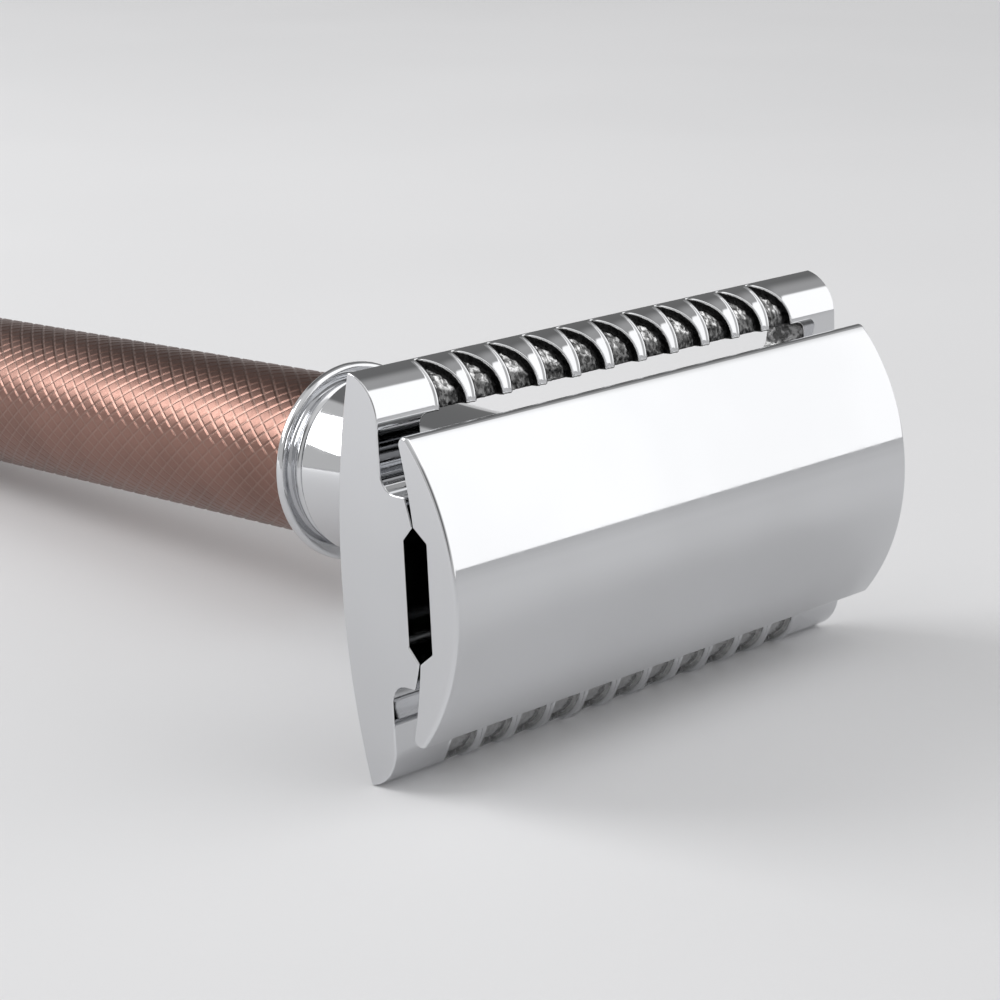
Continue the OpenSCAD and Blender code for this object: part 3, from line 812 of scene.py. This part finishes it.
class RazorSizes(PropertyGroup):
    """Sizes of the finished surfaces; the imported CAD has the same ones."""

    head_length: long("Head length", "Length of the cap and the guard",
                      round(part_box("guard_plate")[1].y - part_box("guard_plate")[0].y, 5), 0.04, 0.046)
    guard_width: long("Guard width", "Width of the guard over both bars", 0.0262, 0.026, 0.027)
    bar_radius: long("Bar radius", "Radius of each safety bar", 0.0029, 0.0027, 0.0031)
    guard_back_radius: long("Back radius", "Radius of the guard's rounded back", 0.05, 0.048, 0.056)
    guard_thickness: long("Guard thickness", "From the shelf to the back, at the middle", 0.00415, 0.004, 0.0046)
    slot_length: long("Slot length", "Length of each lather slot", 0.036, 0.034, 0.037)
    pin_distance: long("Pin distance", "From the stud to each locating pin", 0.0092, 0.0085, 0.011)
    scallops: IntProperty(name="Scallops", description="Scallops along each bar", default=11, min=7, max=11)
    scallop_pitch: long("Scallop pitch", "From one scallop to the next", 0.00308, 0.003, 0.00312)
    scallop_depth: long("Scallop depth", "Depth of each scallop's floor", 0.00045, 0.0003, 0.0006)
    scallop_lip: long("Scallop lip", "Height of the raised line along a scallop's sides", 0.00009, 0.0, 0.00012)
    scallop_grain: long("Scallop grain", "Height of the cast grain on a scallop's floor", 0.000014, 0.0, 0.00003)
    crown_radius: long("Crown radius", "Radius of the cap's crown", 0.0146, 0.0145, 0.015)
    hollow_radius: long("Hollow radius", "Radius of the cap's underside", 0.037, 0.036, 0.04)
    cap_edge_radius: long("Cap edge radius", "Round of the cap's long edges", 0.00048, 0.0004, 0.0005)
    cap_end_round: long("Cap end round", "Round where the crown meets the cap's ends", 0.00025, 0.0001, 0.00045)
    ring_diameter: long("Ring diameter", "Diameter of the collar's and the knob's rings", 0.0146, 0.0142, 0.015)
    neck_length: long("Neck length", "From the bar tips back to the collar's ring", 0.025, 0.0245, 0.026)
    knob_length: long("Knob length", "Length of the knob behind its groove", 0.007, 0.006, 0.009)
    grip_diameter: long("Grip diameter", "Diameter over the knurl's crests", 0.012, 0.0116, 0.0122)
    grip_length: long("Grip length", "Length of the grip", 0.062, 0.05, 0.075)
    knurl_starts: IntProperty(name="Knurl starts", description="Grooves of each hand around the grip",
                              default=33, min=20, max=40)
    knurl_pitch: long("Knurl pitch", "From one crossing of grooves to the next, along the grip",
                      0.001556, 0.001, 0.003)
    knurl_depth: long("Knurl depth", "Depth of the knurl's grooves", 0.00005, 0.00002, 0.0003)


class RazorFinish(PropertyGroup):
    """Colours of the razor's finishes."""

    chrome: FloatVectorProperty(name="Chrome", description="Reflection colour of the chromed pieces",
                                default=(0.70, 0.706, 0.72), subtype="COLOR", size=3, min=0, max=1)
    grip: FloatVectorProperty(name="Grip", description="Reflection colour of the grip's anodised metal",
                              default=(0.265, 0.150, 0.122), subtype="COLOR", size=3, min=0, max=1)
    floor: FloatVectorProperty(name="Floor", description="Colour of the pale paper under the razor",
                               default=(0.82, 0.82, 0.83), subtype="COLOR", size=3, min=0, max=1)


# ---------------------------------------------------------------- operators


class RAZOR_OT_guard(Operator):
    """Build the guard with its two scalloped bars, lather slots, channel and seat"""

    bl_idname = "razor.guard"
    bl_label = "Guard"

    def execute(self, context):
        guard_skin(context.scene.razor_sizes).build(
            "guard_chromed", "guard", "chrome", "guard_plate", chrome("cast_chrome_painted_shade", cast_floor_and_painted_shade))
        return {"FINISHED"}


class RAZOR_OT_cap(Operator):
    """Build the domed cap"""

    bl_idname = "razor.cap"
    bl_label = "Cap"

    def execute(self, context):
        cap_skin(context.scene.razor_sizes).build("cap_chromed", "cap", "chrome", "cap_shell", chrome())
        return {"FINISHED"}


class RAZOR_OT_collar_and_knob(Operator):
    """Build the turned collar, end knob and its plug"""

    bl_idname = "razor.collar_and_knob"
    bl_label = "Collar and knob"

    def execute(self, context):
        sizes = context.scene.razor_sizes
        collar_skin(sizes).build("collar_chromed", "handle", "chrome", "neck_collar", chrome())
        knob_skin(sizes).build("knob_chromed", "handle", "chrome", "end_knob", chrome())
        plug_skin(sizes).build("plug_chromed", "handle", "chrome", "knob_plug", chrome())
        return {"FINISHED"}


class RAZOR_OT_grip(Operator):
    """Build the knurled grip"""

    bl_idname = "razor.grip"
    bl_label = "Grip"

    def execute(self, context):
        tone = tuple(context.scene.razor_finish.grip)
        metal = finish("anodised_grip", tone, tuple(0.8 * v for v in tone), 1.0, (0.28, 0.34), 2500, (1, 1, 1), 700,
                       4e-7, marked=painted_groove_highlight)
        grip_skin(context.scene.razor_sizes).build("grip_knurled", "handle", "rose_grip", "grip_sleeve", metal)
        return {"FINISHED"}


class RAZOR_OT_inner_pieces(Operator):
    """Give the stud, pins, insert, screw, washer and sealing rings their finishes"""

    bl_idname = "razor.inner_pieces"
    bl_label = "Inner pieces"

    def execute(self, context):
        steel = finish("turned_steel", (0.62, 0.61, 0.59), (0.5, 0.49, 0.48), 1.0, (0.2, 0.34), 3000, (9, 1, 1),
                       900, 4e-6)
        brass = finish("turned_brass", (0.78, 0.58, 0.29), (0.68, 0.47, 0.21), 1.0, (0.22, 0.36), 3000, (9, 1, 1),
                       900, 4e-6)
        rubber = finish("black_rubber", (0.022, 0.022, 0.022), (0.03, 0.029, 0.028), 0.0, (0.55, 0.72), 4000,
                        (1, 1, 1), 1500, 6e-6, specular=0.35)
        dress(steel, "cap_stud", "locating_pins", "tie_screw", "lock_washer")
        dress(brass, "thread_insert")
        dress(rubber, "collar_o_ring", "knob_o_ring")
        return {"FINISHED"}


class RAZOR_OT_stage(Operator):
    """Lay the pale floor, light it softly and set the camera"""

    bl_idname = "razor.stage"
    bl_label = "Stage"

    def execute(self, context):
        scene = context.scene
        paper(tuple(scene.razor_finish.floor))
        sky(scene)
        soft_light("soft_side", azimuth=217, height=31, distance=0.55, size=0.30, power=1.4)
        soft_light("soft_top", azimuth=0, height=88, distance=0.9, size=1.4, power=1.0)
        camera(scene)
        scene.view_settings.view_transform = "Standard"
        return {"FINISHED"}


def towards(azimuth, height):
    """The direction at an azimuth from +X towards +Y and a height above the floor, in degrees."""
    a, e = math.radians(azimuth), math.radians(height)
    return Vector((math.cos(e) * math.cos(a), math.cos(e) * math.sin(a), math.sin(e)))


def paper(tone):
    """A wide, pale, matt sheet with a faint tooth."""
    side = 3.0
    mesh = bpy.data.meshes.new("floor")
    mesh.from_pydata([(-side, -side, 0), (side, -side, 0), (side, side, 0), (-side, side, 0)], [], [(0, 1, 2, 3)])
    floor = bpy.data.objects.new("floor", mesh)
    bpy.context.scene.collection.objects.link(floor)
    sheet = finish("pale_paper", tone, tuple(0.97 * v for v in tone), 0.0, (0.85, 0.95), 1500, (1, 1, 1), 60,
                   1e-5, specular=0.03)
    mesh.materials.append(sheet)


def sky(scene):
    """A soft studio around the razor, by direction: even all round, brighter on the side at
    azimuth 55, and less bright where two soft grey screens stand, at azimuth 125 behind the
    head and at azimuth -44 behind the camera."""
    world = bpy.data.worlds.new("studio")
    scene.world = world
    world.use_nodes = True
    tree = world.node_tree
    tree.nodes.clear()
    way = node(tree, "ShaderNodeTexCoord").outputs["Generated"]
    split = node(tree, "ShaderNodeSeparateXYZ", {0: way})
    flat = node(tree, "ShaderNodeCombineXYZ", {0: split.outputs[0], 1: split.outputs[1]})
    flat = node(tree, "ShaderNodeVectorMath", {0: flat.outputs[0]}, operation="NORMALIZE").outputs[0]

    def near(way, azimuth, height, start, end, low, high):
        """Low to high as the cosine of the angle to a direction goes from start to end."""
        close = node(tree, "ShaderNodeVectorMath", {0: way, 1: tuple(towards(azimuth, height))},
                     operation="DOT_PRODUCT").outputs["Value"]
        return spread(tree, close, start, end, low, high)

    even, bright_side, screened = 0.60, 0.82, 0.3
    level = maths(tree, "ADD", even, near(flat, 55, 0, 0.5, 0.85, 0, bright_side))
    level = maths(tree, "MULTIPLY", level, near(way, 125, 45, 0.745, 0.80, 1, screened))
    level = maths(tree, "MULTIPLY", level, near(way, -44, 24, 0.90, 0.965, 1, screened))
    background = node(tree, "ShaderNodeBackground", {"Color": (1, 1, 1, 1), "Strength": level})
    node(tree, "ShaderNodeOutputWorld", {"Surface": background.outputs[0]})


def soft_light(name, azimuth, height, distance, size, power):
    """A square soft light that faces the razor's head."""
    light = bpy.data.lights.new(name, "AREA")
    light.shape, light.size, light.energy = "SQUARE", size, power
    lamp = bpy.data.objects.new(name, light)
    bpy.context.scene.collection.objects.link(lamp)
    way = towards(azimuth, height)
    lamp.location = HEAD + distance * way
    lamp.rotation_euler = (-way).to_track_quat("-Z", "Y").to_euler()


def camera(scene):
    """A long lens, level, a little above the razor and in front of the head's near end."""
    lens = bpy.data.cameras.new("camera")
    view = bpy.data.objects.new("camera", lens)
    scene.collection.objects.link(view)
    back = towards(-44.207, 16.737)
    right = (-back).cross(Vector((0, 0, 1))).normalized()
    up = right.cross(-back)
    view.location = HEAD + MM * (-7.128 * right + 0.772 * up + 172.875 * back)
    view.rotation_euler = Matrix((right, up, back)).transposed().to_euler()
    lens.sensor_width, lens.lens = 36.0, 94.0
    lens.clip_start, lens.clip_end = 0.01, 20
    scene.camera = view


class RAZOR_PT_panel(Panel):
    """The razor's settings and steps"""

    bl_idname = "RAZOR_PT_panel"
    bl_label = "Safety razor"
    bl_space_type = "VIEW_3D"
    bl_region_type = "UI"
    bl_category = "Razor"

    def draw(self, context):
        for step in STEPS:
            self.layout.operator(step.bl_idname)
        for group in (context.scene.razor_sizes, context.scene.razor_finish):
            column = self.layout.column()
            for key in group.__annotations__:
                column.prop(group, key)


STEPS = (RAZOR_OT_guard, RAZOR_OT_cap, RAZOR_OT_collar_and_knob, RAZOR_OT_grip, RAZOR_OT_inner_pieces,
         RAZOR_OT_stage)
CLASSES = (RazorSizes, RazorFinish, *STEPS, RAZOR_PT_panel)


def register():
    """Registers the settings, the steps and the panel."""
    for item in CLASSES:
        bpy.utils.register_class(item)
    bpy.types.Scene.razor_sizes = PointerProperty(type=RazorSizes)
    bpy.types.Scene.razor_finish = PointerProperty(type=RazorFinish)


def unregister():
    """Takes them away again."""
    del bpy.types.Scene.razor_finish
    del bpy.types.Scene.razor_sizes
    for item in reversed(CLASSES):
        bpy.utils.unregister_class(item)


def main():
    """Builds the pieces and the stage in order."""
    register()
    for step in STEPS:
        group, name = step.bl_idname.split(".")
        getattr(getattr(bpy.ops, group), name)()


if __name__ == "__main__":
    main()
